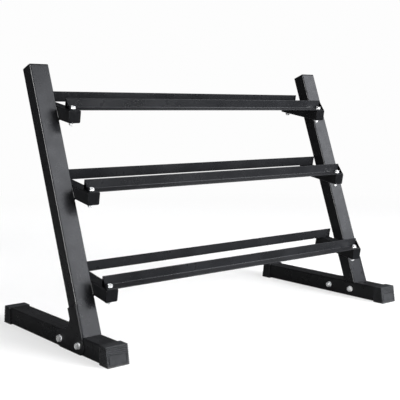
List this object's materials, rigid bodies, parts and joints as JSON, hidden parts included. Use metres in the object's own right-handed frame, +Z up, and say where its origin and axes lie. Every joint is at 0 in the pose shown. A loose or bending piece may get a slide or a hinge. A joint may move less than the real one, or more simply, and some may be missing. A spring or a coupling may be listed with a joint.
{
  "type": "dumbbell rack",
  "caption": "Free-standing tiered dumbbell rack with leaning tube uprights, forward-sloping shelves of angle rails bolted to short arms, and booted feet",
  "frame": {"origin": "on the floor, in the middle of the two feet, where the undersides of the rubber boots rest", "axes": "+X runs along the tiers from the left foot to the right foot, +Y runs from the user's side to the back, +Z is up"},
  "size_m": [1.1728, 0.5876, 0.777],
  "materials": {
    "powder_coat": "gloss black powder coat with a fine orange peel",
    "rubber_boot": "moulded black rubber, ribbed for grip, with a smooth panel low on the sloping end",
    "plastic_plug": "satin black moulded plastic",
    "zinc_fastener": "bright zinc plating"
  },
  "bodies": {
    "root": {"bottom_front_rail": "powder_coat", "bottom_rear_rail": "powder_coat", "foot_bolts": "zinc_fastener", "foot_inner_washers": "zinc_fastener", "foot_nuts": "zinc_fastener", "foot_outer_washers": "zinc_fastener", "left_bottom_arm": "powder_coat", "left_bottom_arm_front_plug": "plastic_plug", "left_bottom_arm_rear_plug": "plastic_plug", "left_foot_tube": "powder_coat", "left_front_boot": "rubber_boot", "left_gusset": "powder_coat", "left_middle_arm": "powder_coat", "left_middle_arm_front_plug": "plastic_plug", "left_middle_arm_rear_plug": "plastic_plug", "left_rear_boot": "rubber_boot", "left_top_arm": "powder_coat", "left_top_arm_front_plug": "plastic_plug", "left_top_arm_rear_plug": "plastic_plug", "left_top_plug": "plastic_plug", "left_upright": "powder_coat", "middle_front_rail": "powder_coat", "middle_rear_rail": "powder_coat", "rail_bolts": "zinc_fastener", "rail_lower_washers": "zinc_fastener", "rail_nuts": "zinc_fastener", "rail_upper_washers": "zinc_fastener", "right_bottom_arm": "powder_coat", "right_bottom_arm_front_plug": "plastic_plug", "right_bottom_arm_rear_plug": "plastic_plug", "right_foot_tube": "powder_coat", "right_front_boot": "rubber_boot", "right_gusset": "powder_coat", "right_middle_arm": "powder_coat", "right_middle_arm_front_plug": "plastic_plug", "right_middle_arm_rear_plug": "plastic_plug", "right_rear_boot": "rubber_boot", "right_top_arm": "powder_coat", "right_top_arm_front_plug": "plastic_plug", "right_top_arm_rear_plug": "plastic_plug", "right_top_plug": "plastic_plug", "right_upright": "powder_coat", "top_front_rail": "powder_coat", "top_rear_rail": "powder_coat"}
  },
  "joints": []
}
